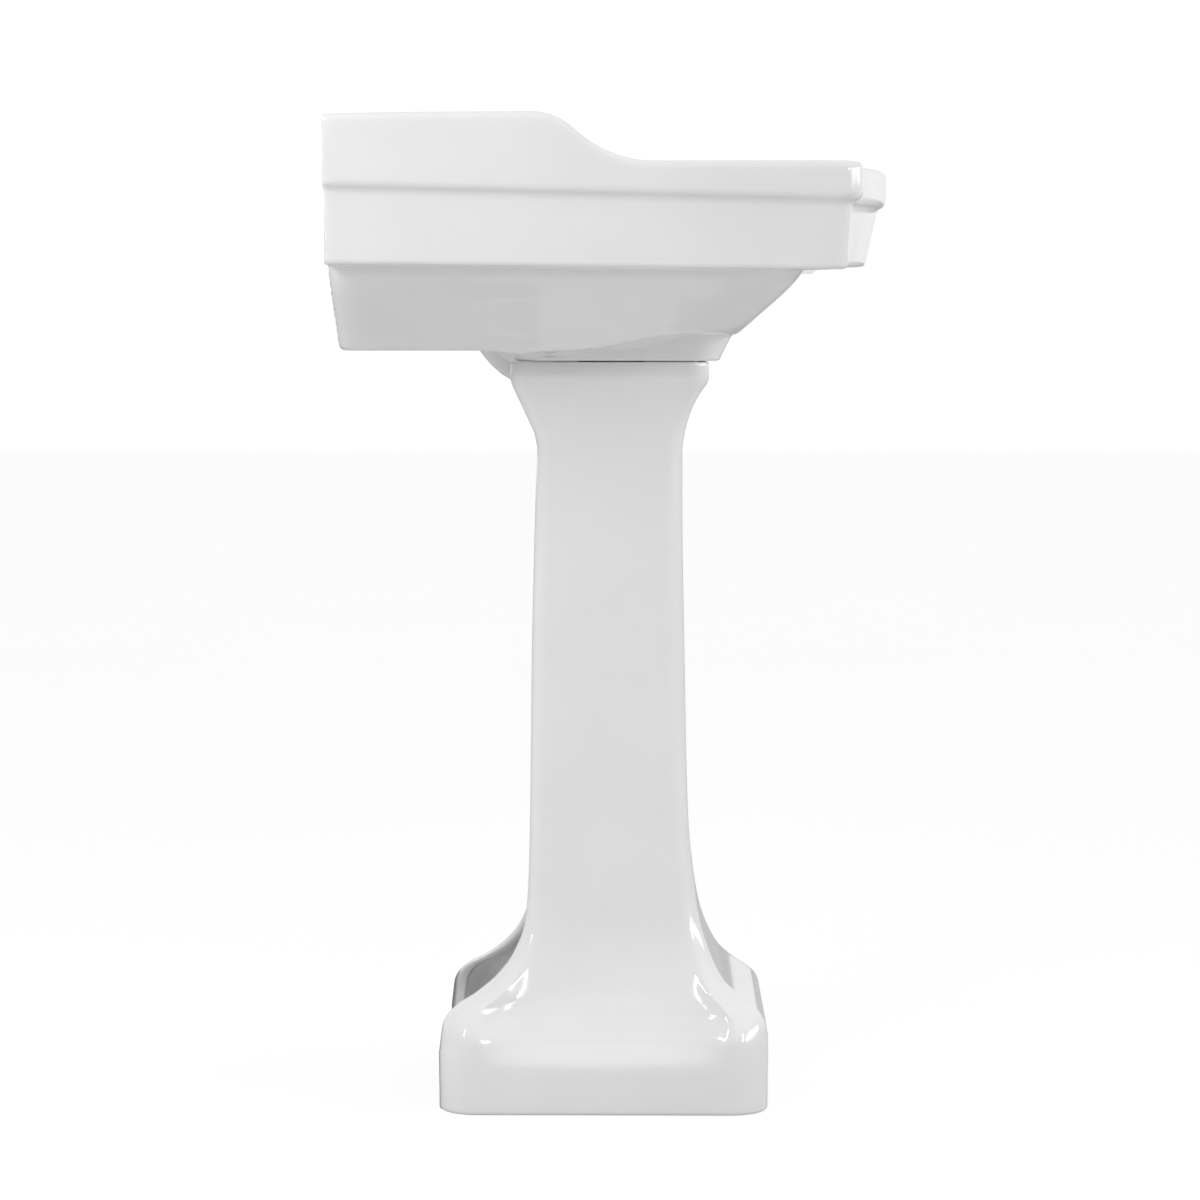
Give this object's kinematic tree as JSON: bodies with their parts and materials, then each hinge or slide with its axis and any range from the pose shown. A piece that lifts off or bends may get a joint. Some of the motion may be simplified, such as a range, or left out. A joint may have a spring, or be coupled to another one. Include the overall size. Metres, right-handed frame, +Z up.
{
  "type": "pedestal sink",
  "caption": "White glazed ceramic pedestal sink: bow-fronted basin with raised back deck on a hollow column with flared foot, push waste and bottle trap.",
  "frame": {"origin": "on the floor, under the centre of the sink's overall box", "axes": "+Z up, -Y towards the user, +Y towards the wall, +X to the right of a user who faces the sink; symmetric about X = 0"},
  "size_m": [0.61, 0.492, 0.889],
  "materials": {
    "china": "gloss white glaze",
    "chrome": "polished",
    "brass": "turned, plain",
    "rubber": "matte",
    "plastic": "satin"
  },
  "bodies": {
    "sink": {"basin": "china", "pedestal": "china", "seat_pads": "rubber", "wall_bushings": "plastic", "overflow_ring": "chrome", "waste_flange": "chrome", "flange_seal": "plastic", "waste_body": "brass", "basin_washer": "rubber", "slip_washer": "plastic", "waste_locknut": "brass", "cartridge": "plastic", "tailpiece": "chrome", "trap_inlet_nut": "chrome", "trap_inlet_washer": "rubber", "trap_body": "chrome", "trap_cup": "chrome", "trap_cup_seal": "rubber", "trap_outlet_nut": "chrome", "trap_outlet_washer": "rubber"},
    "stopper": {"stopper": "chrome", "stopper_seal": "rubber"}
  },
  "joints": [
    {"name": "stopper_lift", "type": "slide", "parent": "sink", "child": "stopper", "axis": [0, 0, 1], "range_m": [0, 0.009]}
  ]
}
